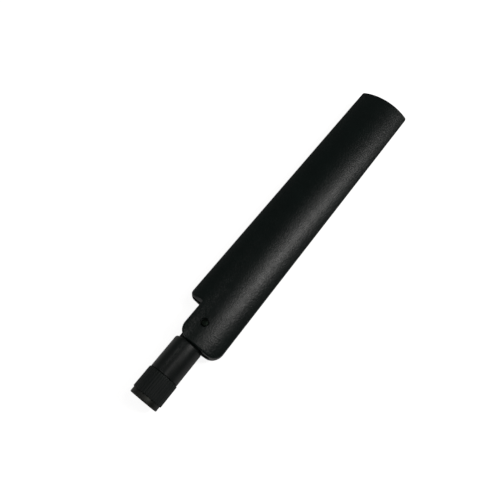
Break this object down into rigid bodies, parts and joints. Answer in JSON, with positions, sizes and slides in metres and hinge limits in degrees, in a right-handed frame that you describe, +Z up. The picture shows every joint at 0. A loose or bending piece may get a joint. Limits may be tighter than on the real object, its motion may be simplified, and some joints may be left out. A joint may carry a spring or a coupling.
{
  "type": "omnidirectional antenna",
  "caption": "Black blade-shaped dipole antenna with a folding hinge, a swivelling barrel and a knurled threaded coaxial nut.",
  "frame": {"origin": "on the ground under the middle of the antenna's length and width, the antenna lying on its back with its hinge straight and its grip's lowest rib on the ground", "axes": "+Y along the antenna towards the blade's tip, +Z up out of the blade's front face, +X across the blade away from its notch"},
  "size_m": [0.0284, 0.2008, 0.0145],
  "materials": {
    "blade_plastic": "fine spark-eroded matte",
    "base_plastic": "smooth matte",
    "grip_plastic": "fine straight knurl, matte",
    "board": "solder-masked glass-fibre laminate",
    "cable_jacket": "smooth black jacket",
    "ptfe": "turned PTFE",
    "silicone": "satin silicone rubber",
    "rubber": "satin",
    "heat_shrink": "satin",
    "foam": "open-cell foam",
    "ferrite": "pressed and ground",
    "black_nickel": "black nickel plated",
    "nickel": "satin nickel plated",
    "gold": "gold plated",
    "copper": "etched copper",
    "solder": "reflowed solder",
    "black_steel": "black oxide",
    "spring_steel": "bright spring steel"
  },
  "bodies": {
    "blade": {"front_shell": "blade_plastic", "rear_shell": "blade_plastic", "pivot_pin_front": "black_steel", "pivot_pin_rear": "black_steel", "friction_washer_front": "spring_steel", "friction_washer_rear": "spring_steel", "antenna_board": "board", "upper_radiator": "copper", "lower_radiator": "copper", "braid_solder": "solder", "coax_center_wire": "copper", "core_solder": "solder", "coax_upper": "cable_jacket", "cable_choke": "ferrite", "foam_pad_front_lower": "foam", "foam_pad_front_upper": "foam", "foam_pad_rear_lower": "foam", "foam_pad_rear_upper": "foam"},
    "base": {"hinge_base": "base_plastic", "swivel_clip": "spring_steel", "coax_lower": "cable_jacket"},
    "connector": {"connector_body": "nickel", "contact_insulator": "ptfe", "center_contact": "gold", "crimp_ferrule": "nickel", "heat_shrink": "heat_shrink", "swivel_o_ring": "rubber", "nut_retaining_ring": "spring_steel"},
    "nut": {"coupling_nut": "black_nickel", "nut_grip": "grip_plastic", "seal_gasket": "silicone"}
  },
  "joints": [
    {"name": "tilt", "type": "hinge", "parent": "blade", "child": "base", "pos_m": [0, -0.0606, 0.00725], "axis": [0, 0, -1], "range_deg": [0, 90]},
    {"name": "swivel", "type": "hinge", "parent": "base", "child": "connector", "pos_m": [0, -0.0839, 0.00725], "axis": [0, 1, 0], "continuous": true},
    {"name": "nut_spin", "type": "hinge", "parent": "connector", "child": "nut", "pos_m": [0, -0.0898, 0.00725], "axis": [0, 1, 0], "continuous": true}
  ]
}
